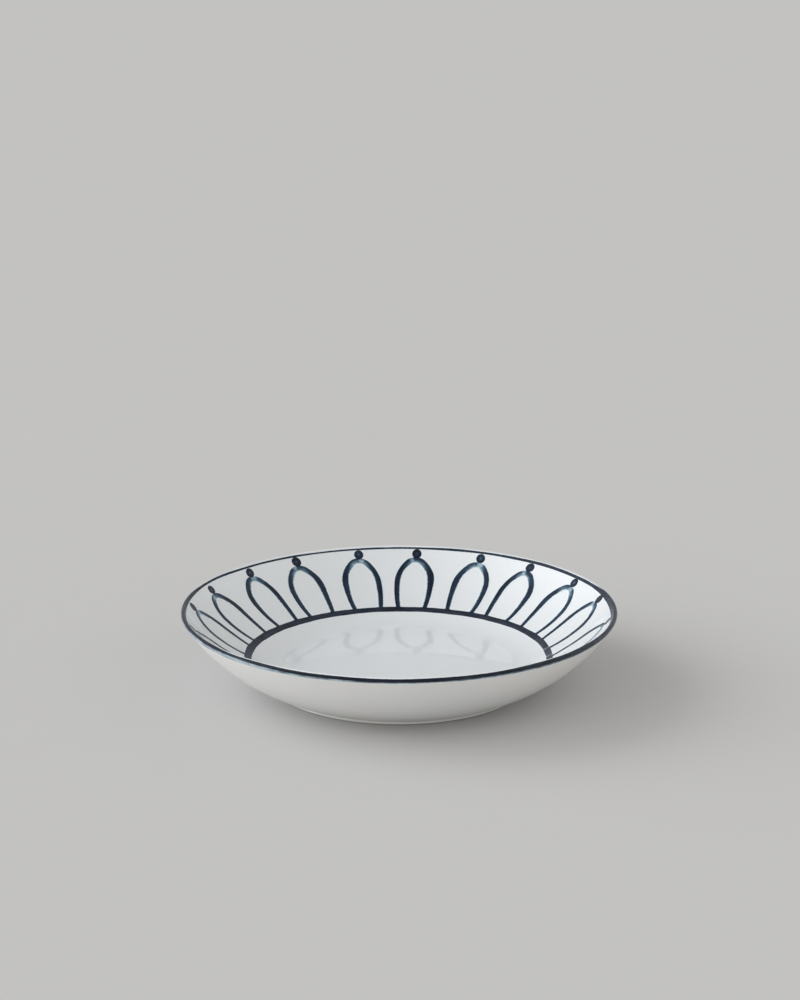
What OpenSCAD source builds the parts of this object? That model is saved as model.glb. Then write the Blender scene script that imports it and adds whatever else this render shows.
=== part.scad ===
// Coupe soup plate in glazed porcelain, with a hand-painted border of arches and beads.
// The origin is on the table under the middle of the plate, and +Z is the axis of turning.

/* [Plate] */
// Diameter over the rim, colour included
rim_d = 220; // [180:1:260]
// Height from the table to the top of the rim, colour included
plate_h = 40; // [34:0.5:46]
// Width of the sloping wall from the rim to the well's edge, seen from above
wall_w = 31.1; // [26:0.1:38]
// How far the inner wall bows out from a straight line between the well's edge and the lip
inner_bow = 1.8; // [1:0.1:3]
// How far the outer wall bows out from a straight line between the foot and the lip
outer_bow = 4.4; // [3.5:0.1:7]
// Thickness of the rounded lip, glaze included
lip_t = 2.2; // [1.8:0.1:3.2]

/* [Well] */
// Height of the well's flat floor above the table
floor_h = 8.5; // [7.5:0.1:10.5]
// Thickness of the floor, glaze included
floor_t = 4.6; // [3.8:0.1:5]
// Rise from the floor to the well's edge, where its turn meets the wall
well_rise = 6.4; // [5.5:0.1:8]
// Angle of the soft break at the well's edge
edge_break = 2; // [1:0.5:5]

/* [Foot] */
// How far the foot stands in from the well's edge
foot_inset = 13.8; // [12:0.1:21]
// Width of the foot ring
foot_w = 4.8; // [4:0.1:8]
// Height at which the outer wall would meet the foot, without the fillet
foot_h = 1.8; // [1.6:0.1:3.4]
// Fillet between the foot and the outer wall
foot_fillet_r = 1.2; // [0.8:0.1:1.6]
// Fillet between the foot and the underside of the floor
recess_fillet_r = 1.5; // [0.8:0.1:2]
// Bevel on both lower edges of the foot
foot_bevel = 0.5; // [0.3:0.1:0.9]

/* [Glaze and colour] */
// Thickness of the glaze
glaze_t = 0.35; // [0.25:0.05:0.5]
// Height of bare porcelain left at the foot, where the glaze is wiped off
bare_h = 0.7; // [0.7:0.1:1.2]
// Thickness of the colour on the glaze
colour_t = 0.1; // [0.06:0.01:0.2]
// Clearance between the colour and the curved face of the glaze
colour_clear = 0.13; // [0.1:0.01:0.2]
// How far the rim band runs down the inner wall, below the round of the lip
band_in = 0.2; // [0.1:0.1:1]
// How far the rim band runs down the outer wall, below the round of the lip
band_out = 1.1; // [0.5:0.1:3]
// Width of the ring round the well, seen from above
ring_w = 3.3; // [2:0.1:5]
// How far the ring laps over the well's edge onto the wall
ring_lap = 0.3; // [0.2:0.1:1]

/* [Border] */
// Least spacing of the arches along the well's edge
arch_spacing = 24.5; // [20:0.1:32]
// Angle of the first arch, before the hand strays
border_turn = 12.9; // [0:0.1:30]
// How much closer together the two arches of a pair stand than even spacing
pair_close = 1.6; // [0:0.1:3]
// Drop from the top of the rim to the middle of a bead
bead_drop = 3.2; // [3.2:0.1:6]
// Diameter of a bead
bead_d = 4.8; // [3:0.1:5]
// How far a bead sits to one side of the middle of its arch, along the well's edge
bead_aside = -0.55; // [-1:0.05:1]
// Bare glaze between a bead and the arch below it
bead_gap = 0.4; // [0.2:0.1:1.5]
// Width of an arch between the middles of its legs, at the widest
arch_w = 17.8; // [15:0.1:19]
// Width of an arch between the middles of its legs, at the ring
arch_foot_w = 14.6; // [11:0.1:15.5]
// Height at which an arch is widest, as a share of its whole height
arch_spring = 0.51; // [0.4:0.01:0.6]
// Radius of an arch's crown, as a share of half its width
arch_crown = 0.65; // [0.5:0.01:0.8]
// Width of the brush stroke where an arch is widest
stroke_w = 2.9; // [1.5:0.1:3.5]
// Width of the brush stroke at the ring
stroke_foot_w = 2.2; // [1:0.1:3]
// Width of the brush stroke at the crown
stroke_crown_w = 2; // [1:0.1:3]
// How far the painter's hand strays sideways from even spacing
hand_stray = 0.5; // [0:0.1:1.5]

/* [Hidden] */
$fn = 200;
// Rounds and walls that run into each other cross by this much
blend = 0.02;
lip_r = lip_t / 2;
// How far the face of the colour stands out from the glaze
colour_out = colour_clear + colour_t;
under_h = floor_h - floor_t;
floor_mid_h = floor_h - floor_t / 2;
well_r = rim_d / 2 - wall_w;
foot_r = well_r - foot_inset;
foot_in_r = foot_r - foot_w;
foot_mid_r = foot_r - foot_w / 2;

// Arcs of the plate's section at its glazed face, with points as [radius, height]
lip_c = [rim_d / 2, plate_h] - (colour_out + lip_r) * [1, 1];
well_edge = [well_r, floor_h + well_rise];
inner_wall_r = bowed_radius(well_edge, lip_c, inner_bow);
inner_c = crossing(well_edge, inner_wall_r, lip_c, inner_wall_r + lip_r - blend);
turn_slope = atan2(well_r - inner_c[0], inner_c[1] - well_edge[1]) + edge_break;
turn_r = (well_rise + blend) / (1 - cos(turn_slope));
turn_c = well_edge + turn_r * [-sin(turn_slope), cos(turn_slope)];
foot_corner = [foot_r, foot_h];
outer_wall_r = bowed_radius(foot_corner, lip_c, outer_bow);
outer_c = crossing(foot_corner, outer_wall_r, lip_c, outer_wall_r - lip_r + blend);
fillet_x = foot_r + foot_fillet_r - blend;
fillet_c = [fillet_x, outer_c[1] - leg(outer_wall_r + foot_fillet_r - blend, fillet_x - outer_c[0])];

// The wall ends on these two lines out of the middle of the lip, where the lip's round takes over
lip_out = lip_c + lip_t * unit(lip_c - outer_c);
lip_in = lip_c + lip_t * unit(inner_c - lip_c);
lip_out_turn = heading(lip_c - outer_c);
lip_in_turn = heading(inner_c - lip_c);
// The rim band goes over the round of the lip in this many narrow flats
lip_flats = 20;

// Places of the painted border on the inner wall
bead_h = plate_h - bead_drop;
bead_at = [inner_c[0] + leg(inner_wall_r, inner_c[1] - bead_h), bead_h];
bead_slope = asin((bead_at[0] - inner_c[0]) / inner_wall_r);
border = bead_at - well_edge;
border_slope = atan2(border[1], border[0]);
arch_h = norm(border) - bead_d / 2 - bead_gap;
arch_spring_h = arch_spring * arch_h;
motif_count = floor(2 * PI * well_r / arch_spacing);
// How far the flat drawing of a motif is pressed through the curved wall, each way
press = 3;
// The stray of the hand swings slowly from side to side, by this turn from one motif to the next
stray_turn = 45;

porcelain = "#efece4";
clear_glaze = "#e8edf0";
cobalt = "#27303f";

function unit(v) = v / norm(v);

// Angle of a direction, and the direction of an angle
function heading(v) = atan2(v[1], v[0]);
function toward(angle) = [cos(angle), sin(angle)];

// The angle that an arc of some length takes up on a circle
function arc_turn(length, radius) = 180 / PI * length / radius;

// The missing side of a right triangle
function leg(long_side, side) = sqrt(long_side ^ 2 - side ^ 2);

// Radius of the arc between two points that bows out by so much from the straight line
function bowed_radius(a, b, bow) = norm(b - a) ^ 2 / (8 * bow) + bow / 2;

// Where two circles cross, on the left of the way from the first centre to the second
function crossing(c1, r1, c2, r2) =
    let (way = c2 - c1)
    let (far = norm(way))
    let (along = (r1 ^ 2 - r2 ^ 2 + far ^ 2) / (2 * far))
    c1 + (along * way + leg(r1, along) * [-way[1], way[0]]) / far;

// Angle of a motif: it stands in a pair, and strays with the hand and by its own step aside
function motif_angle(i, aside) =
    let (paired = pair_close / 2 * (i % 2 == 0 ? -1 : 1))
    let (strayed = hand_stray * cos(stray_turn * i))
    border_turn + 360 / motif_count * (i - 1) + atan((paired + strayed + aside) / well_r);

function numbered(name, i) = str(name, "_", i < 10 ? "0" : "", i);

module disc(centre, radius) {
    translate(centre) circle(radius);
}

// The hollow that holds the soup, in section, grown by a depth below the glazed face
module well_hollow(depth) {
    centres = turn_c - inner_c;
    intersection() {
        union() {
            disc(turn_c, turn_r + depth);
            square([turn_c[0], 2 * plate_h]);
            intersection() {
                disc(inner_c, inner_wall_r + depth);
                translate(inner_c) rotate(atan2(centres[1], centres[0])) square(2 * inner_wall_r);
            }
        }
        translate([0, floor_h - depth]) square(rim_d);
    }
}

// The hollow under the floor, inside the foot ring
module foot_hollow(depth) {
    edge = foot_in_r + depth;
    corner = [foot_in_r, under_h] - (recess_fillet_r - blend) * [1, 1];
    intersection() {
        union() {
            disc(corner, recess_fillet_r + depth);
            square([corner[0], floor_h]);
            square([foot_r, corner[1]]);
        }
        square([edge, under_h + depth]);
    }
    polygon([
        [0, -foot_bevel],
        [edge + 2 * foot_bevel, -foot_bevel],
        [edge, foot_bevel],
        [0, foot_bevel]
    ]);
}

// The foot and the floor above it, with the fillet that leads to the outer wall
module foot_and_floor(depth) {
    edge = foot_r - depth;
    fillet_end = fillet_c + (foot_fillet_r + floor_t / 2) * unit(outer_c - fillet_c);
    polygon([
        [0, 0],
        [edge - foot_bevel, 0],
        [edge, foot_bevel],
        [edge, well_edge[1]],
        [0, well_edge[1]]
    ]);
    difference() {
        polygon([
            [foot_mid_r, fillet_c[1]],
            fillet_c,
            fillet_end,
            [foot_mid_r, fillet_end[1]]
        ]);
        disc(fillet_c, foot_fillet_r + depth);
    }
}

// The plate's section at a depth below its glazed face; the sole of the foot stays on the table
module plate_section(depth) {
    disc(lip_c, lip_r - depth);
    difference() {
        union() {
            intersection() {
                disc(outer_c, outer_wall_r - depth);
                polygon([lip_out, lip_c, lip_in, [0, lip_in[1]], [0, 0], [lip_out[0], 0]]);
            }
            foot_and_floor(depth);
        }
        well_hollow(depth);
        foot_hollow(depth);
    }
}

// The skin of colour inside the plate, in section, between two radii
module inner_skin(from_r, to_r) {
    intersection() {
        difference() {
            well_hollow(-colour_clear);
            well_hollow(-colour_out);
        }
        translate([from_r, 0]) square([to_r - from_r, plate_h]);
    }
}

// The face of the wall from the ring to the lip, on which the border is painted
module wall_face() {
    rotate_extrude() inner_skin(well_r + ring_lap, lip_c[0]);
}

// Outline of one side of an arch's stroke: a three-centred arch that narrows towards its foot
module arch_outline(half_w, half_foot_w, rise) {
    crown_r = arch_crown * half_w;
    crown_c = [0, rise - crown_r];
    above_spring = crown_c[1] - arch_spring_h;
    inside_r = crown_r - blend;
    haunch_r = (half_w ^ 2 + above_spring ^ 2 - inside_r ^ 2) / (2 * (half_w - inside_r));
    haunch_c = [half_w - haunch_r, arch_spring_h];
    crown_end = crown_c + 2 * crown_r * unit(crown_c - haunch_c);
    half_leg_w = half_w - blend;
    narrowing = half_leg_w - half_foot_w;
    leg_r = (arch_spring_h ^ 2 + narrowing ^ 2) / (2 * narrowing);
    disc(crown_c, crown_r);
    intersection() {
        disc(haunch_c, haunch_r);
        disc([-haunch_c[0], haunch_c[1]], haunch_r);
        polygon([
            [-arch_w, 0],
            [arch_w, 0],
            [arch_w, arch_spring_h],
            crown_end,
            crown_c,
            [-crown_end[0], crown_end[1]],
            [-arch_w, arch_spring_h]
        ]);
    }
    intersection() {
        disc([half_leg_w - leg_r, arch_spring_h], leg_r);
        disc([leg_r - half_leg_w, arch_spring_h], leg_r);
        translate([-arch_w, -arch_spring_h]) square(2 * [arch_w, arch_spring_h]);
    }
}

// The brush strokes of an arch, drawn flat, with the middle of its foot at the origin
module arch_stroke() {
    difference() {
        arch_outline((arch_w + stroke_w) / 2, (arch_foot_w + stroke_foot_w) / 2, arch_h);
        arch_outline((arch_w - stroke_w) / 2, (arch_foot_w - stroke_foot_w) / 2, arch_h - stroke_crown_w);
    }
}

// A flat drawing stood against the wall at a place in the section, and pressed through it
module pressed(angle, place, slope) {
    rotate(angle) translate([place[0], 0, place[1]]) rotate([0, -slope, 0]) rotate(-90)
        translate([0, 0, -press]) linear_extrude(2 * press) children();
}

module porcelain_body() {
    color(porcelain) rotate_extrude() plate_section(glaze_t);
}

// Glaze from the well over the lip and down the outside to the foot
module clear_glaze_coat() {
    color(clear_glaze) rotate_extrude() difference() {
        intersection() {
            plate_section(0);
            union() {
                translate([0, floor_mid_h]) square([rim_d, plate_h]);
                translate([foot_mid_r, bare_h]) square([rim_d, plate_h]);
            }
        }
        plate_section(glaze_t);
    }
}

module foot_recess_glaze() {
    color(clear_glaze) rotate_extrude() difference() {
        intersection() {
            plate_section(0);
            translate([0, bare_h]) square([foot_mid_r, floor_mid_h - bare_h]);
        }
        plate_section(glaze_t);
    }
}

// One face of the rim band at a lift over the glaze, from its outer edge over the lip to its inner edge
function band_face(lift) =
    let (flat_turn = (lip_in_turn - lip_out_turn) / lip_flats)
    let (outer_end = lip_out_turn - arc_turn(band_out, outer_wall_r))
    let (inner_end = lip_in_turn - 180 - arc_turn(band_in, inner_wall_r))
    concat(
        [outer_c + (outer_wall_r + lift) * toward(outer_end)],
        [for (k = [0 : lip_flats]) lip_c + (lip_r + lift) * toward(lip_out_turn + k * flat_turn)],
        [inner_c + (inner_wall_r - lift) * toward(inner_end)]
    );

module rim_band() {
    upper = band_face(colour_out);
    lower = band_face(colour_clear);
    ends = len(lower) - 1;
    color(cobalt) rotate_extrude() polygon(concat(upper, [for (k = [0 : ends]) lower[ends - k]]));
}

module well_ring() {
    color(cobalt) rotate_extrude() inner_skin(well_r + ring_lap - ring_w, well_r + ring_lap);
}

module arch(i) {
    color(cobalt) intersection() {
        wall_face();
        pressed(motif_angle(i, 0), well_edge, border_slope) arch_stroke();
    }
}

module bead(i) {
    color(cobalt) intersection() {
        wall_face();
        pressed(motif_angle(i, bead_aside), bead_at, bead_slope) circle(d = bead_d);
    }
}

porcelain_body();
clear_glaze_coat();
foot_recess_glaze();
rim_band();
well_ring();
for (i = [1 : motif_count]) {
    arch(i);
    bead(i);
}
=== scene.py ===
import math
import random

import bmesh
import bpy
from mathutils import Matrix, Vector


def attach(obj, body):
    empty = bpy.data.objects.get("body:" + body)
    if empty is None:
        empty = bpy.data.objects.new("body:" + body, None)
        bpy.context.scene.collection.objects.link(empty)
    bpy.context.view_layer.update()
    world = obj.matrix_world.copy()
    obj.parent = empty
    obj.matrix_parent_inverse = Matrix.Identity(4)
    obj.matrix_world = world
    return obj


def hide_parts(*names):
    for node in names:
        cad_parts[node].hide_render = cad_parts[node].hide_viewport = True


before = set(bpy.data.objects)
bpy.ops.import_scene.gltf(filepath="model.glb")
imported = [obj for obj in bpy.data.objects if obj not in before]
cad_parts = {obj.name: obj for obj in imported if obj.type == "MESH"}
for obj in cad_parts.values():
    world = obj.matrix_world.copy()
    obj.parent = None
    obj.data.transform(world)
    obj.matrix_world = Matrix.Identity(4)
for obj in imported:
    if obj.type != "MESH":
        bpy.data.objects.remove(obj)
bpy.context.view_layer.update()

# The scene is in metres, and the sizes are in millimetres
MM = 0.001

# Sizes of the plate's section at its glazed face
rim_d = 220
plate_h = 40
wall_w = 31.1
inner_bow = 1.8
outer_bow = 4.4
lip_t = 2.2
colour_out = 0.23
floor_h = 8.5
floor_t = 4.6
well_rise = 6.4
edge_break = math.radians(2)
foot_inset = 13.8
foot_w = 4.8
foot_h = 1.8
foot_fillet_r = 1.2
recess_fillet_r = 1.5
foot_bevel = 0.5
glaze_t = 0.35
bare_h = 0.7

# Sizes of the painted border
ring_w = 3.25
ring_inset = 0.75
bead_drop = 3.8
bead_d = 5.3
bead_gap = 0.15
arch_w = 17.8
arch_foot_w = 14.6
arch_spring = 0.51
arch_crown = 0.65
stroke_w = 2.9
stroke_foot_w = 2.2
stroke_crown_w = 2

# The colour lies in the glaze, so its face hardly stands out; later brushwork lies over earlier
band_lifts = {"crest": 0.03, "edge": 0.02}
far_band_lifts = {"crest": 0.015, "edge": 0.01}
arch_lifts = {"crest": 0.07, "edge": 0.045}
bead_lifts = {"crest": 0.1, "edge": 0.08}
colour_root = -0.05
# The marks stand a little further forward at both sides of the plate than an even spacing would put them
forward_drift = math.radians(0.8)
# A mark is drawn wider than its stroke by this many times the softness of its edge
halo = 2.75
# What its points carry: how far within the edge, how far across, how much colour, and how much lies under it
brush_marks = ("within", "across", "load", "under")

# Fineness of the meshes
around_plate = 240
around_band = 480
sharp_angle = math.radians(40)

# How the photograph was taken, in millimetres and in its own pixels
view_distance = 1313.9
view_elevation = math.radians(18.56)
aim_height = 20
focal_px = 2589
picture_px = 1000
aim_below_px = 143.5
aim_left_px = 0.85
sensor_h = 36


def bowed_radius(a, b, bow):
    """Radius of the arc between two points that bows out by so much from the straight line."""
    return (b - a).length_squared / (8 * bow) + bow / 2


def crossing(c1, r1, c2, r2):
    """Where two circles cross, on the left of the way from the first centre to the second."""
    way = c2 - c1
    along = (r1 ** 2 - r2 ** 2 + way.length_squared) / (2 * way.length)
    aside = math.sqrt(r1 ** 2 - along ** 2)
    return c1 + (along * way + aside * Vector((-way.y, way.x))) / way.length


def bearing(start, end):
    """Angle of the way from one point to another."""
    return math.atan2(end.y - start.y, end.x - start.x)


def arc(centre, radius, start, end, steps):
    """Points along an arc from one angle to another."""
    turns = [start + (end - start) * i / steps for i in range(steps + 1)]
    return [centre + radius * Vector((math.cos(turn), math.sin(turn))) for turn in turns]


# Arcs of the section, with points as radius and height
well_r = rim_d / 2 - wall_w
foot_r = well_r - foot_inset
foot_in_r = foot_r - foot_w
under_h = floor_h - floor_t
lip_r = lip_t / 2
lip_c = Vector((rim_d / 2, plate_h)) - (colour_out + lip_r) * Vector((1, 1))
well_edge = Vector((well_r, floor_h + well_rise))
inner_wall_r = bowed_radius(well_edge, lip_c, inner_bow)
inner_c = crossing(well_edge, inner_wall_r, lip_c, inner_wall_r + lip_r)
turn_slope = math.atan2(well_r - inner_c.x, inner_c.y - well_edge.y) + edge_break
turn_r = well_rise / (1 - math.cos(turn_slope))
turn_c = well_edge + turn_r * Vector((-math.sin(turn_slope), math.cos(turn_slope)))
foot_corner = Vector((foot_r, foot_h))
outer_wall_r = bowed_radius(foot_corner, lip_c, outer_bow)
outer_c = crossing(foot_corner, outer_wall_r, lip_c, outer_wall_r - lip_r)
lip_inside = lip_r * (bearing(lip_c, inner_c) - math.pi / 2)
lip_outside = lip_r * (math.pi / 2 - bearing(outer_c, lip_c))
fillet_reach = outer_wall_r + foot_fillet_r
fillet_x = foot_r + foot_fillet_r
fillet_c = Vector((fillet_x, outer_c.y - math.sqrt(fillet_reach ** 2 - (fillet_x - outer_c.x) ** 2)))

# Places of the border on the turn of the well and on the inner wall
ring_out_r = well_r - ring_inset
ring_in_r = ring_out_r - ring_w
bead_h = plate_h - bead_drop
bead_at = Vector((inner_c.x + math.sqrt(inner_wall_r ** 2 - (inner_c.y - bead_h) ** 2), bead_h))
bead_slope = math.asin((bead_at.x - inner_c.x) / inner_wall_r)
border = bead_at - well_edge
border_slope = math.atan2(border.y, border.x)
arch_h = border.length - bead_d / 2 - bead_gap
arch_spring_h = arch_spring * arch_h


def held(share):
    """A share, held between nothing and all."""
    return min(1, max(0, share))


def linear(colour):
    """An sRGB hex colour as linear red, green, blue and alpha."""
    parts = [int(colour[i:i + 2], 16) / 255 for i in (1, 3, 5)]
    return [c / 12.92 if c <= 0.04045 else ((c + 0.055) / 1.055) ** 2.4 for c in parts] + [1]


def per_size(size):
    """Scale of a pattern whose lumps are so many millimetres across."""
    return 1 / (size * MM)


def add(tree, kind, inputs=None, **settings):
    """Add a node, set its properties, and give its inputs their values or links."""
    node = tree.nodes.new(kind)
    for name, value in settings.items():
        setattr(node, name, value)
    for socket, value in (inputs or {}).items():
        if isinstance(value, bpy.types.NodeSocket):
            tree.links.new(value, node.inputs[socket])
        else:
            node.inputs[socket].default_value = value
    return node


def new_material(name):
    """An empty material with its output, and the node tree to fill."""
    material = bpy.data.materials.new(name)
    material.use_nodes = True
    material.node_tree.nodes.clear()
    return material, material.node_tree


def glaze_body(tree):
    """What every glazed face shares: place on the plate, colour seen through the glaze, and its surface."""
    pool_size = 35
    wave_size = 18
    wave_h = 0.045
    peel_size = 1.2
    peel_h = 0.002
    spot = add(tree, "ShaderNodeTexCoord")
    place = spot.outputs["Object"]
    # Glaze runs as it melts and lies thicker on faces that look up; the cool tint above and the warm tint
    # below are partly painted light, standing in for cool light from above and warmer light from below
    facing = add(tree, "ShaderNodeSeparateXYZ", {"Vector": spot.outputs["Normal"]})
    upward_tint_painted_light = add(tree, "ShaderNodeMapRange", {
        "Value": facing.outputs["Z"], "From Min": -0.5, "From Max": 0.5}, interpolation_type="SMOOTHSTEP")
    tint = add(tree, "ShaderNodeMix", {
        "Factor": upward_tint_painted_light.outputs["Result"], 6: linear("#efefed"), 7: linear("#e7ecf0")}, data_type="RGBA")
    pooling = add(tree, "ShaderNodeTexNoise", {"Vector": place, "Scale": per_size(pool_size), "Detail": 2})
    shade = add(tree, "ShaderNodeMapRange", {
        "Value": pooling.outputs["Fac"], "From Min": 0.35, "From Max": 0.65, "To Min": 0.0, "To Max": 0.35})
    colour = add(tree, "ShaderNodeMix", {
        "Factor": shade.outputs["Result"], 6: tint.outputs[2], 7: linear("#e5e8ea")}, data_type="RGBA")
    # Slow waves of the fired surface bend what it mirrors; the orange peel is drawn coarser than it is
    waves = add(tree, "ShaderNodeTexNoise", {"Vector": place, "Scale": per_size(wave_size), "Detail": 2})
    peel = add(tree, "ShaderNodeTexNoise", {"Vector": place, "Scale": per_size(peel_size), "Detail": 2})
    wavy = add(tree, "ShaderNodeBump", {
        "Height": waves.outputs["Fac"], "Distance": wave_h * MM, "Strength": 1})
    skin = add(tree, "ShaderNodeBump", {
        "Height": peel.outputs["Fac"], "Distance": peel_h * MM, "Strength": 1,
        "Normal": wavy.outputs["Normal"]})
    gloss = add(tree, "ShaderNodeMapRange", {
        "Value": pooling.outputs["Fac"], "From Min": 0.3, "From Max": 0.7, "To Min": 0.2, "To Max": 0.26})
    # Only the thick glaze of the upper faces has melted to a sharp mirror
    mirror = add(tree, "ShaderNodeMapRange", {
        "Value": facing.outputs["Z"], "From Min": 0.3, "From Max": 0.7, "To Min": 0.0, "To Max": 0.6})
    surface = {"Normal": skin.outputs["Normal"], "Roughness": gloss.outputs["Result"]}
    sharp = {"Coat Weight": mirror.outputs["Result"], "Coat Normal": skin.outputs["Normal"]}
    return place, colour.outputs[2], surface, sharp


def glazed_surface(tree, colour, surface):
    """Close a glazed material: feldspar glaze of a glass's index, part of its mirror sharp and part hazy."""
    shader = add(tree, "ShaderNodeBsdfPrincipled", {
        "Base Color": colour, "IOR": 1.5, "Coat Roughness": 0.02, "Coat IOR": 1.5, **surface})
    add(tree, "ShaderNodeOutputMaterial", {"Surface": shader.outputs["BSDF"]})


def clear_glaze_on_porcelain():
    """Glazed porcelain: a white tinted cool on the upper faces and warm below as partly painted light, with
    soft mirror reflections that waver.
    """
    material, tree = new_material("clear_glaze_on_porcelain")
    _, colour, surface, sharp = glaze_body(tree)
    glazed_surface(tree, colour, {**surface, **sharp})
    return material


def cobalt_under_glaze(name, tones):
    """Cobalt brushed on before the gloss firing: dark where it is loaded, bleeding pale at its edges."""
    material, tree = new_material(name)
    place, white, surface, _ = glaze_body(tree)
    within, across, load, under = [
        add(tree, "ShaderNodeAttribute", attribute_name=mark).outputs["Fac"] for mark in brush_marks]
    # The edge bleeds unevenly into the melting glaze, with a pale halo beyond it
    bleed_size = 1.2
    bleed_reach = 1.6
    bleed = add(tree, "ShaderNodeTexNoise", {"Vector": place, "Scale": per_size(bleed_size), "Detail": 3})
    stray = add(tree, "ShaderNodeMath", {0: bleed.outputs["Fac"], 1: 0.5}, operation="SUBTRACT")
    edge = add(tree, "ShaderNodeMath", {
        0: stray.outputs[0], 1: bleed_reach, 2: within}, operation="MULTIPLY_ADD")
    cover = add(tree, "ShaderNodeMapRange", {
        "Value": edge.outputs[0], "From Min": -1.0, "From Max": 1.0}, interpolation_type="SMOOTHSTEP")
    faint = add(tree, "ShaderNodeMapRange", {
        "Value": edge.outputs[0], "From Min": 0.9 - halo, "From Max": 0, "To Min": 0, "To Max": 0.13},
        interpolation_type="SMOOTHSTEP")
    # Hairs of the brush leave streaks along the stroke, and the colour lies in clouds
    hair_run = 9
    hair_gap = 0.7
    hair_depth = 0.7
    cloud_size = 4
    cloud_depth = 0.5
    fine = add(tree, "ShaderNodeMath", {0: across, 1: hair_run * MM / hair_gap}, operation="MULTIPLY")
    hairs = add(tree, "ShaderNodeTexNoise", {
        "Vector": place, "W": fine.outputs[0], "Scale": per_size(hair_run), "Detail": 3},
        noise_dimensions="4D")
    cloud = add(tree, "ShaderNodeTexNoise", {"Vector": place, "Scale": per_size(cloud_size), "Detail": 4})
    streaked = add(tree, "ShaderNodeMath", {
        0: hairs.outputs["Fac"], 1: hair_depth, 2: load}, operation="MULTIPLY_ADD")
    clouded = add(tree, "ShaderNodeMath", {
        0: cloud.outputs["Fac"], 1: cloud_depth, 2: streaked.outputs[0]}, operation="MULTIPLY_ADD")
    laid = add(tree, "ShaderNodeMath", {
        0: clouded.outputs[0], 1: (hair_depth + cloud_depth) / 2}, operation="SUBTRACT", use_clamp=True)
    stroke = add(tree, "ShaderNodeMath", {
        0: laid.outputs[0], 1: cover.outputs["Result"]}, operation="MULTIPLY")
    bled = add(tree, "ShaderNodeMath", {
        0: stroke.outputs[0], 1: faint.outputs["Result"]}, operation="MAXIMUM")
    # Where a stroke crosses an earlier line, that line's colour shows through its soft edge
    ink = add(tree, "ShaderNodeMath", {0: bled.outputs[0], 1: under}, operation="MAXIMUM", use_clamp=True)
    ramp = add(tree, "ShaderNodeValToRGB", {"Fac": ink.outputs[0]})
    stops = ramp.color_ramp.elements
    while len(stops) < len(tones):
        stops.new(1)
    for stop, (amount, tone) in zip(stops, tones):
        stop.position = amount
        stop.color = linear(tone)
    shown = add(tree, "ShaderNodeMapRange", {
        "Value": ink.outputs[0], "From Min": 0.0, "From Max": 0.2}, interpolation_type="SMOOTHSTEP")
    colour = add(tree, "ShaderNodeMix", {
        "Factor": shown.outputs["Result"], 6: white, 7: ramp.outputs["Color"]}, data_type="RGBA")
    # The metal in it dulls the glaze's face to half the mirror of the clear one
    glazed_surface(tree, colour.outputs[2], {**surface, "Specular IOR Level": 0.25})
    return material


def biscuit_porcelain_with_painted_contact_shade():
    """Bare fired porcelain on the sole of the foot: matt, with the grit of the clay, greyed a little by wear
    and mostly as painted shade for the contact shadow under the foot.
    """
    material, tree = new_material("biscuit_porcelain_with_painted_contact_shade")
    place = add(tree, "ShaderNodeTexCoord").outputs["Object"]
    clay = add(tree, "ShaderNodeTexNoise", {"Vector": place, "Scale": per_size(6), "Detail": 4})
    # Painted shade: these greys stand in for the contact shadow under the foot, with some grey from wear
    tint = add(tree, "ShaderNodeValToRGB", {"Fac": clay.outputs["Fac"]})
    tint.color_ramp.elements[0].color = linear("#aaa49a")
    tint.color_ramp.elements[1].color = linear("#bab5ab")
    # Grit of the clay, drawn coarser than it is
    grit_size = 0.5
    grit_h = 0.03
    grit = add(tree, "ShaderNodeTexNoise", {"Vector": place, "Scale": per_size(grit_size), "Detail": 2})
    rough = add(tree, "ShaderNodeBump", {
        "Height": grit.outputs["Fac"], "Distance": grit_h * MM, "Strength": 1})
    shader = add(tree, "ShaderNodeBsdfPrincipled", {
        "Base Color": tint.outputs["Color"], "Roughness": 0.75, "Normal": rough.outputs["Normal"]})
    add(tree, "ShaderNodeOutputMaterial", {"Surface": shader.outputs["BSDF"]})
    return material


def matt_pale_table():
    """Painted board: an even pale grey that takes a soft shadow."""
    material, tree = new_material("matt_pale_table")
    place = add(tree, "ShaderNodeTexCoord").outputs["Object"]
    paint = add(tree, "ShaderNodeTexNoise", {"Vector": place, "Scale": per_size(60), "Detail": 3})
    tint = add(tree, "ShaderNodeValToRGB", {"Fac": paint.outputs["Fac"]})
    tint.color_ramp.elements[0].color = linear("#cacaca")
    tint.color_ramp.elements[1].color = linear("#cccccc")
    shader = add(tree, "ShaderNodeBsdfPrincipled", {"Base Color": tint.outputs["Color"], "Roughness": 0.9})
    add(tree, "ShaderNodeOutputMaterial", {"Surface": shader.outputs["BSDF"]})
    return material


glaze = clear_glaze_on_porcelain()
biscuit = biscuit_porcelain_with_painted_contact_shade()
brushed_cobalt = cobalt_under_glaze("cobalt_brushed_under_glaze", [
    (0, "#c9d8e0"), (0.22, "#a3bac5"), (0.42, "#627d8e"), (0.64, "#22384f"), (1, "#0b1627")])
banded_cobalt = cobalt_under_glaze("cobalt_banded_under_glaze", [
    (0, "#c6d9e4"), (0.22, "#a4bcc9"), (0.42, "#5e6a77"), (0.64, "#303949"), (1, "#0c1424")])


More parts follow.
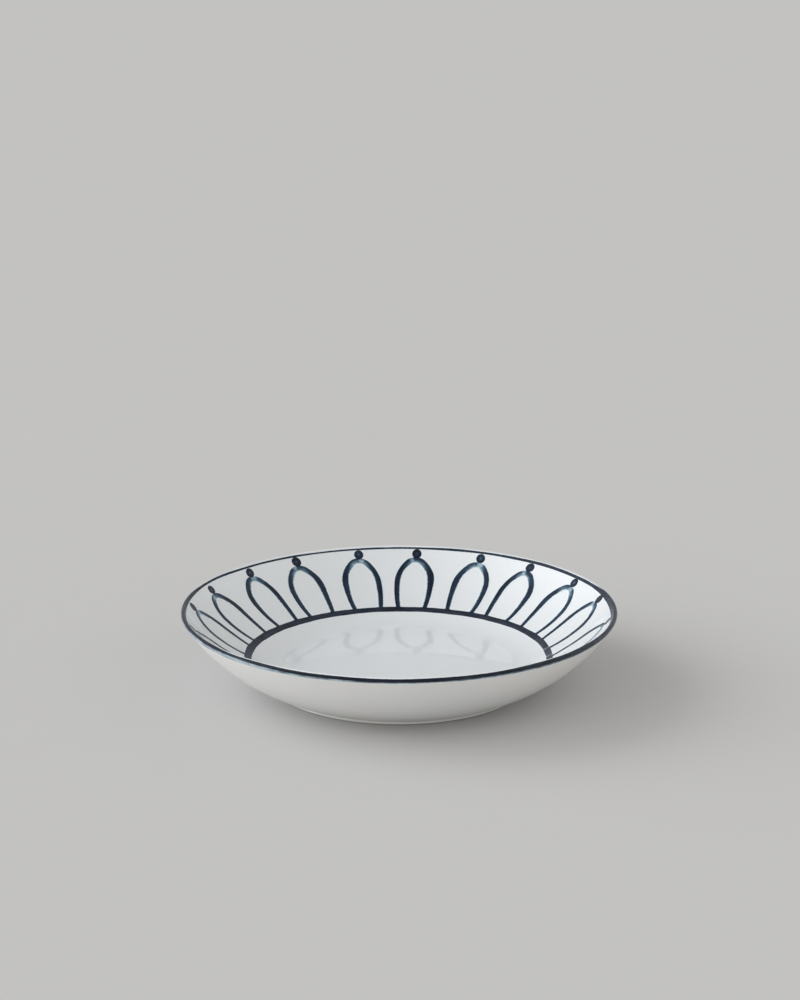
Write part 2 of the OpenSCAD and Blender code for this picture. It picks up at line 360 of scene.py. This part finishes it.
def finished(name, points, faces, material, node, marks=None):
    """A smooth piece of the plate on its body, with its brush marks, in place of its solid."""
    mesh = bpy.data.meshes.new(name)
    mesh.from_pydata([MM * point for point in points], [], faces)
    shell = bmesh.new()
    shell.from_mesh(mesh)
    bmesh.ops.recalc_face_normals(shell, faces=shell.faces)
    shell.to_mesh(mesh)
    shell.free()
    for mark, values in (marks or {}).items():
        mesh.attributes.new(mark, "FLOAT", "POINT").data.foreach_set("value", values)
    mesh.shade_smooth()
    mesh.set_sharp_from_angle(angle=sharp_angle)
    mesh.materials.append(material)
    piece = bpy.data.objects.new(name, mesh)
    bpy.context.collection.objects.link(piece)
    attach(piece, "root")
    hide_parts(node)


def turned(section_at, steps, closed):
    """Points and faces of a form turned on the wheel, whose section may change a little on the way round."""
    points = []
    faces = []
    rows = []
    poles = {}
    for turn in range(steps):
        angle = math.tau * turn / steps
        row = []
        for step, (radius, height) in enumerate(section_at(angle)):
            if radius == 0 and step in poles:
                row.append(poles[step])
                continue
            if radius == 0:
                poles[step] = len(points)
            row.append(len(points))
            points.append(Vector((radius * math.cos(angle), radius * math.sin(angle), height)))
        rows.append(row)
    for row, after in zip(rows, rows[1:] + rows[:1]):
        last = len(row) if closed else len(row) - 1
        for step in range(last):
            beside = (step + 1) % len(row)
            corners = [row[step], after[step], after[beside], row[beside]]
            faces.append(list(dict.fromkeys(corners)))
    return points, faces


def glazed_side(depth, fine):
    """Section from the middle of the well over the lip to the foot, at a depth under the glazed face."""
    wall_start = bearing(inner_c, well_edge)
    wall_end = bearing(inner_c, lip_c)
    outside_start = bearing(outer_c, lip_c)
    outside_end = bearing(outer_c, fillet_c)
    floor_steps = 4 * fine
    floor = [Vector((turn_c.x * i / floor_steps, floor_h - depth)) for i in range(floor_steps)]
    turn = arc(turn_c, turn_r + depth, -math.pi / 2, turn_slope - math.pi / 2, 8 * fine)
    wall = arc(inner_c, inner_wall_r + depth, wall_start, wall_end, 12 * fine)
    lip = arc(lip_c, lip_r - depth, bearing(lip_c, inner_c), outside_start, 6 * fine)
    outside = arc(outer_c, outer_wall_r - depth, outside_start, outside_end, 12 * fine)
    fillet = arc(fillet_c, foot_fillet_r + depth, bearing(fillet_c, outer_c), math.pi, 3 * fine)
    return floor + turn[:-1] + wall[:-1] + lip[:-1] + outside[:-1] + fillet


def recess_side(depth, fine):
    """Section from the inside of the foot to the middle of the recess under the floor."""
    corner = Vector((foot_in_r, under_h)) - recess_fillet_r * Vector((1, 1))
    fillet = arc(corner, recess_fillet_r + depth, 0, math.pi / 2, 3 * fine)
    steps = 4 * fine
    ceiling = [Vector((corner.x * (1 - i / steps), under_h + depth)) for i in range(1, steps + 1)]
    return fillet + ceiling


def make_porcelain_body():
    """The turned body under the glaze, bare on the sole of its foot."""
    outer = foot_r - glaze_t
    inner = foot_in_r + glaze_t
    sole = [(outer, foot_bevel), (outer - foot_bevel, 0), (inner + foot_bevel, 0), (inner, foot_bevel)]
    section = glazed_side(glaze_t, 2) + [Vector(point) for point in sole] + recess_side(glaze_t, 2)
    points, faces = turned(lambda angle: section, around_plate, False)
    finished("turned_porcelain_body", points, faces, biscuit, "porcelain_body")


def make_glaze_coat():
    """The glaze from the well over the lip and down to the bare foot."""
    face = glazed_side(0, 3) + [Vector((foot_r, bare_h))]
    back = glazed_side(glaze_t, 1) + [Vector((foot_r - glaze_t, bare_h))]
    section = face + back[::-1]
    points, faces = turned(lambda angle: section, around_plate, False)
    finished("glaze_coat", points, faces, glaze, "clear_glaze_coat")


def make_recess_glaze():
    """The glaze under the floor, inside the foot."""
    face = [Vector((foot_in_r, bare_h))] + recess_side(0, 2)
    back = [Vector((foot_in_r + glaze_t, bare_h))] + recess_side(glaze_t, 2)
    section = face[::-1] + back
    points, faces = turned(lambda angle: section, around_plate, False)
    finished("recess_glaze", points, faces, glaze, "foot_recess_glaze")


def banded(path_at, marks_at, lifts):
    """Points, faces and marks of a line that is banded on the turning plate."""
    def section_at(angle):
        crest = path_at(angle, lifts["crest"])
        edge = path_at(angle, lifts["edge"])
        root = path_at(angle, colour_root)
        return [edge[0]] + crest[1:-1] + [edge[-1]] + root[::-1]

    points, faces = turned(section_at, around_band, True)
    rows = [marks_at(math.tau * turn / around_band) for turn in range(around_band)]
    return points, faces, [point for row in rows for point in row + row[::-1]]


def make_band(name, node, lines):
    """One piece of banded colour from its lines."""
    points = []
    faces = []
    laid = []
    for line_points, line_faces, line_marks in lines:
        faces += [[len(points) + corner for corner in face] for face in line_faces]
        points += line_points
        laid += line_marks
    marks = {mark: [point[mark] for point in laid] for mark in brush_marks}
    finished(name, points, faces, banded_cobalt, node, marks)


def waver(angle, *waves):
    """A slow wandering round the plate, as a sum of waves of so many turns, phase and height."""
    return sum(height * math.sin(turns * angle + phase) for turns, phase, height in waves)


def patch(angle, middle, reach):
    """A soft bump of height one about an angle round the plate, both in degrees."""
    away = (math.degrees(angle) - middle + 180) % 360 - 180
    return math.exp(-(away / reach) ** 2)


def rim_point(way, lift):
    """A point on the glazed face, so far along it from the top of the lip towards the outside."""
    if way < -lip_inside:
        turn = bearing(inner_c, lip_c) + (way + lip_inside) / inner_wall_r
        return arc(inner_c, inner_wall_r - lift, turn, turn, 1)[0]
    if way > lip_outside:
        turn = bearing(outer_c, lip_c) - (way - lip_outside) / outer_wall_r
        return arc(outer_c, outer_wall_r + lift, turn, turn, 1)[0]
    turn = math.pi / 2 - way / lip_r
    return arc(lip_c, lip_r + lift, turn, turn, 1)[0]


def around(angle, values):
    """A value that changes smoothly round the plate through values at even steps."""
    place = angle / math.tau * len(values)
    step = int(place)
    share = (1 - math.cos(math.pi * (place - step))) / 2
    return (1 - share) * values[step % len(values)] + share * values[(step + 1) % len(values)]


def rim_edges(angle):
    """Where the rim line starts, where its dark part and its wash end, from the lip's top to the outside."""
    start = around(angle, [
        -3.2, -2.6, -2.4, -2.3, -2.25, -2.35, -2.2, -1.6, -1.9, -1.0, 0.4, 0.9, 1.0, 0.9, 0.2, -1.6])
    dark = around(angle, [
        1.9, -0.95, -0.85, -0.95, -1.3, -1.35, -1.2, -0.5, 1.2, 1.2, 1.8, 2.4, 3.0, 2.7, 2.8, 2.6])
    wash = around(angle, [
        3.0, -0.8, -0.8, -0.95, -1.3, -1.35, -1.2, -0.35, 2.2, 3.6, 4.2, 3.9, 3.7, 3.6, 3.9, 3.6])
    start += waver(angle, (7, 0, 0.06), (16, 2, 0.05))
    dark += waver(angle, (9, 1, 0.08), (23, 3, 0.05))
    wash += waver(angle, (5, 1, 0.06), (13, 4, 0.06), (29, 2, 0.05))
    return start, dark, max(wash, dark)


def far_rim_edges(angle):
    """The same for the line on the lip's other side: outside it at the back, inside it at the front."""
    start = around(angle, [
        0.2, 0.9, 0.95, 1.0, 1.0, 0.95, 0.9, 0.8, 0.2, -1.6, -2.3, -2.35, -2.35, -2.35, -2.3, -1.9])
    dark = around(angle, [
        2.1, 2.3, 2.5, 2.7, 2.6, 2.4, 2.3, 2.1, 1.4, -0.7, -1.3, -1.35, -1.35, -1.3, -1.25, -0.9])
    wash = around(angle, [
        3.0, 3.2, 3.5, 3.6, 3.6, 3.5, 3.3, 3.0, 2.2, -0.6, -1.3, -1.35, -1.35, -1.3, -1.25, -0.8])
    start += waver(angle, (6, 2, 0.06), (17, 0, 0.05))
    dark += waver(angle, (8, 3, 0.08), (21, 1, 0.05))
    wash += waver(angle, (5, 2, 0.06), (14, 1, 0.06), (27, 3, 0.05))
    return start, dark, max(wash, dark)


def rim_load(angle):
    """How much colour the rim line holds: a full brush at the front, a spent one at the sides and back."""
    return around(angle, [
        0.7, 0.78, 0.85, 0.84, 0.73, 0.82, 0.92, 0.88, 0.66, 0.92, 1.0, 1.0, 1.0, 0.94, 0.77, 0.72])


def make_rim_band():
    """The lines on both sides of the lip, which meet over it at the plate's left and right."""
    steps = 26
    parts = [step / steps for step in range(steps + 1)]
    crisp = 0.16
    fade_w = 0.6

    def soft_at(angle):
        return around(angle, [0.3, 0.16, 0.16, 0.2, 0.3, 0.5, 0.5, 0.4])

    def laid_at(edges_at, angle, way):
        start, dark, wash = edges_at(angle)
        full = rim_load(angle)
        thin = around(angle, [0.5, 0.6, 0.6, 0.5, 0.35, 0.19, 0.38, 0.4])
        fade = held((way - dark + fade_w / 2) / fade_w)
        within = min((way - start) / crisp, (wash - way) / soft_at(angle))
        return within, full + fade * (thin - full)

    def rim_line(edges_at, other_edges_at, lifts):
        def ways_at(angle):
            start, _, wash = edges_at(angle)
            first = start - halo * crisp
            last = wash + halo * soft_at(angle)
            return [first + (last - first) * part for part in parts]

        def path_at(angle, lift):
            return [rim_point(way, lift) for way in ways_at(angle)]

        def marks_at(angle):
            row = []
            for way in ways_at(angle):
                within, load = laid_at(edges_at, angle, way)
                beside, other_load = laid_at(other_edges_at, angle, way)
                under = other_load * held(beside / 2 + 0.5)
                row.append({"within": within, "across": way, "load": load, "under": under})
            return row

        return banded(path_at, marks_at, lifts)

    make_band("rim_line", "rim_band", [
        rim_line(rim_edges, far_rim_edges, band_lifts),
        rim_line(far_rim_edges, rim_edges, far_band_lifts)])


def ring_edges(angle):
    """Inner and outer radius of the ring round the well, which wander a little with the hand."""
    inner = ring_in_r + around(angle, [-0.3, 0.4, 0.2, -0.2, 0.0, 0.1, 0.0, -0.1])
    outer = ring_out_r + around(angle, [-0.4, 0.15, 0.0, -0.15, 0.3, 0.1, 0.0, -0.1])
    inner += waver(angle, (17, 3, 0.07), (41, 0, 0.04))
    outer += waver(angle, (19, 1, 0.06), (37, 4, 0.04))
    return inner, outer


def make_well_ring():
    """The dark line round the well's edge, paler in a few places across it near the plate's right."""
    steps = 16
    parts = [step / steps for step in range(steps + 1)]
    soft = 0.16
    outward_gain = 0.06
    # How much colour each pale place lacks, and where it is and how far it reaches, in degrees
    pale_crossings = ((0.4, 9, 0.6), (0.4, 0.7, 0.7), (0.06, 4, 8))

    def radii_at(angle):
        inner, outer = ring_edges(angle)
        first = inner - halo * soft
        last = outer + halo * soft
        return [first + (last - first) * part for part in parts]

    def path_at(angle, lift):
        path = []
        for radius in radii_at(angle):
            centre, reach = (turn_c, turn_r) if radius < well_r else (inner_c, inner_wall_r)
            drop = math.sqrt(reach ** 2 - (radius - centre.x) ** 2)
            face = Vector((radius, centre.y - drop))
            path.append(face + lift * (centre - face).normalized())
        return path

    def marks_at(angle):
        inner, outer = ring_edges(angle)
        fresh = around(angle, [0.76, 0.82, 0.87, 0.86, 0.79, 0.85, 0.9, 0.82])
        fresh += waver(angle, (5, 0, 0.03), (11, 2, 0.03))
        lacking = sum(lack * patch(angle, middle, reach) for lack, middle, reach in pale_crossings)
        row = []
        for radius in radii_at(angle):
            row.append({
                "within": min(radius - inner, outer - radius) / soft,
                "across": radius,
                "load": fresh - lacking + outward_gain * (2 * (radius - inner) / (outer - inner) - 1),
                "under": 0})
        return row

    make_band("well_line", "well_ring", [banded(path_at, marks_at, band_lifts)])


def on_wall(place, slope, x, y, lift):
    """A point of a flat drawing, pressed straight onto the wall: outward, sideways and up."""
    out = place.x + y * math.cos(slope)
    up = place.y + y * math.sin(slope)
    press = 0
    tries = 8
    for _ in range(tries):
        near = out - press * math.sin(slope)
        height = up + press * math.cos(slope)
        radius = math.hypot(near, x)
        arm = Vector((radius - inner_c.x, height - inner_c.y))
        miss = arm.length - (inner_wall_r - lift)
        rate = (-arm.x * math.sin(slope) * near / radius + arm.y * math.cos(slope)) / arm.length
        press -= miss / rate
    return Vector((near, -x, height))


def node_angle(node):
    """Angle round the plate of the middle of a painted solid."""
    points = [vertex.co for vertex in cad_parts[node].data.vertices]
    rough = math.atan2(sum(point.y for point in points), sum(point.x for point in points))
    turns = [(math.atan2(point.y, point.x) - rough + math.pi) % math.tau - math.pi for point in points]
    return rough + (min(turns) + max(turns)) / 2


def earlier_ink(point):
    """How much colour of the rim line or of the well's ring lies under a point of the wall."""
    edge_w = 0.3
    ring_load = 0.85
    radius = math.hypot(point.x, point.y)
    angle = math.atan2(point.y, point.x) % math.tau
    turn = bearing(inner_c, Vector((radius, point.z)))
    way = (turn - bearing(inner_c, lip_c)) * inner_wall_r - lip_inside
    on_rim = (way - min(rim_edges(angle)[0], far_rim_edges(angle)[0])) / edge_w + 0.5
    on_ring = (ring_edges(angle)[1] - radius) / edge_w + 0.5
    return max(rim_load(angle) * held(on_rim), ring_load * held(on_ring))


def make_mark(name, node, place, slope, grid, lifts):
    """A brush mark from a grid of drawn points, each with its place across the stroke and its load."""
    angle = node_angle(node)
    angle -= forward_drift * math.cos(angle)
    rows = len(grid)
    columns = len(grid[0])
    flat = [point for row in grid for point in row]
    points = []
    slip = lifts["edge"] - lifts["crest"]
    for side in ("top", "root"):
        for point in flat:
            lift = lifts["crest"] + slip * point["out"] ** 2 if side == "top" else colour_root
            out, aside, height = on_wall(place, slope, point["x"], point["y"], lift)
            points.append(Vector((
                out * math.cos(angle) - aside * math.sin(angle),
                out * math.sin(angle) + aside * math.cos(angle),
                height)))
    count = rows * columns
    faces = []
    for i in range(rows - 1):
        for j in range(columns - 1):
            corner = i * columns + j
            face = [corner, corner + 1, corner + columns + 1, corner + columns]
            faces += [face, [count + index for index in face[::-1]]]
    rim = list(range(columns))
    rim += [i * columns + columns - 1 for i in range(1, rows)]
    rim += [(rows - 1) * columns + j for j in range(columns - 2, -1, -1)]
    rim += [i * columns for i in range(rows - 2, 0, -1)]
    for here, there in zip(rim, rim[1:] + rim[:1]):
        faces.append([here, there, count + there, count + here])
    marks = {mark: [point[mark] for point in flat] * 2 for mark in ("within", "across", "load")}
    marks["under"] = [earlier_ink(point) for point in points]
    finished(name, points, faces, brushed_cobalt, node, marks)


def arch_line(half_w, half_foot_w, rise):
    """Middle of an arch's stroke, from the left foot over the crown to the right foot."""
    under_ring = 1.6
    crown_r = arch_crown * half_w
    crown_c = Vector((0, rise - crown_r))
    above_spring = crown_c.y - arch_spring_h
    haunch_r = (half_w ** 2 + above_spring ** 2 - crown_r ** 2) / (2 * (half_w - crown_r))
    haunch_c = Vector((half_w - haunch_r, arch_spring_h))
    narrowing = half_w - half_foot_w
    leg_r = (arch_spring_h ** 2 + narrowing ** 2) / (2 * narrowing)
    leg_c = Vector((half_w - leg_r, arch_spring_h))
    crown_turn = bearing(haunch_c, crown_c)
    on_ring = math.asin((arch_spring_h + under_ring) / leg_r)
    off_ring = math.asin(arch_spring_h / leg_r)
    side = arc(leg_c, leg_r, -on_ring, -off_ring, 10)
    side += arc(leg_c, leg_r, -off_ring, 0, 11)[1:]
    side += arc(haunch_c, haunch_r, 0, crown_turn, 12)[1:]
    side += arc(crown_c, crown_r, crown_turn, math.pi / 2, 10)[1:]
    left = [Vector((-point.x, point.y)) for point in side]
    return left + side[-2::-1]


def strayed(hand, middle, reach):
    """A value about its middle, as the hand strays."""
    return middle + reach * hand.uniform(-1, 1)


def make_arch(number):
    """One arch of the border: a full stroke and a slimmer one, which meet thin and pale under the bead."""
    hand = random.Random(number)
    into_bead = 0.55
    wide = strayed(hand, 1, 0.02)
    rise = strayed(hand, arch_h - stroke_crown_w / 2 + into_bead, 0.25)
    lean = strayed(hand, 0, 0.4)
    full = strayed(hand, 0.92, 0.05)
    swell = strayed(hand, 0.55, 0.2)
    # The belly of the full stroke and the crown, as shares of the arch's height
    belly_at = 0.66
    belly_reach = 0.22
    crown_from = 0.76
    crown_run = 0.16
    # The stroke spreads inwards at the crown, and holds less colour where the brush lifts and on its inside
    crown_spread = 0.8
    lifted_loss = 0.54
    inner_loss = 0.12
    crown_loss = 0.4
    crisp = 0.26
    soft = 0.44
    # The arches are brushed in mirrored pairs: this is the side of the full stroke
    full_side = 1 if number % 2 else -1
    lift_at = -full_side * strayed(hand, 1.6, 0.5)
    lift_reach = strayed(hand, 1.5, 0.3)
    line = arch_line(wide * arch_w / 2, wide * arch_foot_w / 2, rise)
    columns = 17
    grid = []
    for i, point in enumerate(line):
        way = (line[min(i + 1, len(line) - 1)] - line[max(i - 1, 0)]).normalized()
        share = held(point.y / arch_h)
        if share < arch_spring:
            width = stroke_foot_w + (stroke_w - stroke_foot_w) * share / arch_spring
        else:
            width = stroke_w + (stroke_crown_w - stroke_w) * ((share - arch_spring) / (1 - arch_spring)) ** 2
        belly = 0
        if point.x * full_side > 0:
            belly = swell * math.exp(-((share - belly_at) / belly_reach) ** 2)
        crown = held((share - crown_from) / crown_run)
        outside = width / 2 + belly
        inside = width / 2 + crown_spread * crown
        lifted = crown * math.exp(-((point.x - lift_at) / lift_reach) ** 4)
        spent = lifted_loss * lifted
        row = []
        for j in range(columns):
            out = 2 * j / (columns - 1) - 1
            offset = out * (outside + halo * crisp) if out > 0 else out * (inside + halo * soft)
            inner = held(0.5 - offset / (outside + inside))
            row.append({
                "x": point.x + lean * share - way.y * offset,
                "y": point.y + way.x * offset,
                "out": out,
                "within": (outside - offset) / crisp if out > 0 else (inside + offset) / soft,
                "across": offset,
                "load": full - spent - inner * (inner_loss + crown_loss * crown * (1 - lifted))})
        grid.append(row)
    name = f"{number:02d}"
    make_mark("brushed_arch_" + name, "arch_" + name, well_edge, border_slope, grid, arch_lifts)


def make_bead(number):
    """One bead: a round dab, thinner in the middle where the brush was lifted."""
    first_hand = 1000
    hand = random.Random(first_hand + number)
    size = bead_d / 2 * strayed(hand, 1, 0.06)
    flat = strayed(hand, 0, 0.06)
    turn = math.pi * hand.random()
    full = strayed(hand, 0.92, 0.05)
    light = strayed(hand, 0.4, 0.12)
    light_reach = 0.35
    soft = 0.11
    steps = 17
    grid = []
    for i in range(steps):
        row = []
        v = 2 * i / (steps - 1) - 1
        for j in range(steps):
            u = 2 * j / (steps - 1) - 1
            x = u * math.sqrt(1 - v * v / 2)
            y = v * math.sqrt(1 - u * u / 2)
            share = min(1, math.hypot(x, y))
            out = size * (1 + flat * math.cos(2 * (math.atan2(y, x) - turn)))
            row.append({
                "x": x * out,
                "y": y * out,
                "out": share,
                "within": 1 + (1 - share) * size / soft,
                "across": 0,
                "load": full - light * math.exp(-(share / light_reach) ** 2)})
        grid.append(row)
    name = f"{number:02d}"
    make_mark("brushed_bead_" + name, "bead_" + name, bead_at, bead_slope, grid, bead_lifts)


make_porcelain_body()
make_glaze_coat()
make_recess_glaze()
make_rim_band()
make_well_ring()
motif_count = sum(name.startswith("arch_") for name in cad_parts)
for number in range(1, motif_count + 1):
    make_arch(number)
    make_bead(number)


def make_table():
    """The pale table that the plate stands on, with its reach in metres."""
    reach = 9
    mesh = bpy.data.meshes.new("table")
    mesh.from_pydata(
        [(-reach, -reach, 0), (reach, -reach, 0), (reach, reach, 0), (-reach, reach, 0)], [], [(0, 1, 2, 3)])
    mesh.materials.append(matt_pale_table())
    table = bpy.data.objects.new("table", mesh)
    bpy.context.collection.objects.link(table)


def make_light():
    """Soft low daylight from a window on the left, in a pale room with a paler wall on the right."""
    lamp = bpy.data.lights.new("window_light", "SUN")
    lamp.energy = 1.2
    lamp.angle = math.radians(50)
    lamp.color = linear("#f3f7ff")[:3]
    window = bpy.data.objects.new("window_light", lamp)
    window_way = Vector((-0.87, 0.22, 0.45))
    window.rotation_euler = window_way.to_track_quat("Z", "Y").to_euler()
    # The glaze doesn't mirror the lamp but the soft glow of the window and the room
    window.visible_glossy = False
    bpy.context.collection.objects.link(window)
    world = bpy.data.worlds.new("pale_room")
    world.use_nodes = True
    tree = world.node_tree
    tree.nodes.clear()
    way = add(tree, "ShaderNodeTexCoord").outputs["Generated"]
    # An even glow, with more from the window and its middle, from the front and from the wall on the right
    glow = 0.43
    for towards, narrow, height in (
            ((-0.95, -0.2, 0.2), 2, 0.62), ((-0.94, -0.3, 0.12), 5, 1.35),
            ((0.1, -0.97, 0.2), 2, 0.08), ((0.95, -0.2, 0.2), 2, 0.6)):
        facing = add(tree, "ShaderNodeVectorMath", {0: way, 1: towards}, operation="DOT_PRODUCT")
        ahead = add(tree, "ShaderNodeMath", {0: facing.outputs["Value"], 1: 0}, operation="MAXIMUM")
        spread = add(tree, "ShaderNodeMath", {0: ahead.outputs[0], 1: narrow}, operation="POWER")
        glow = add(tree, "ShaderNodeMath", {
            0: spread.outputs[0], 1: height, 2: glow}, operation="MULTIPLY_ADD").outputs[0]
    light = add(tree, "ShaderNodeBackground", {"Color": linear("#fffdfa"), "Strength": glow})
    add(tree, "ShaderNodeOutputWorld", {"Surface": light.outputs["Background"]})
    bpy.context.scene.world = world


def make_camera():
    """The photograph's view of the plate."""
    camera = bpy.data.cameras.new("camera")
    camera.sensor_fit = "VERTICAL"
    camera.sensor_height = sensor_h
    camera.lens = sensor_h * focal_px / picture_px
    viewer = bpy.data.objects.new("camera", camera)
    viewer.location = MM * Vector((
        aim_left_px * view_distance / focal_px,
        -view_distance * math.cos(view_elevation),
        aim_height + view_distance * math.sin(view_elevation)))
    down = view_elevation - math.atan(aim_below_px / focal_px)
    viewer.rotation_euler = (math.pi / 2 - down, 0, 0)
    bpy.context.collection.objects.link(viewer)
    bpy.context.scene.camera = viewer


make_table()
make_light()
make_camera()
bpy.context.scene.view_settings.view_transform = "Standard"
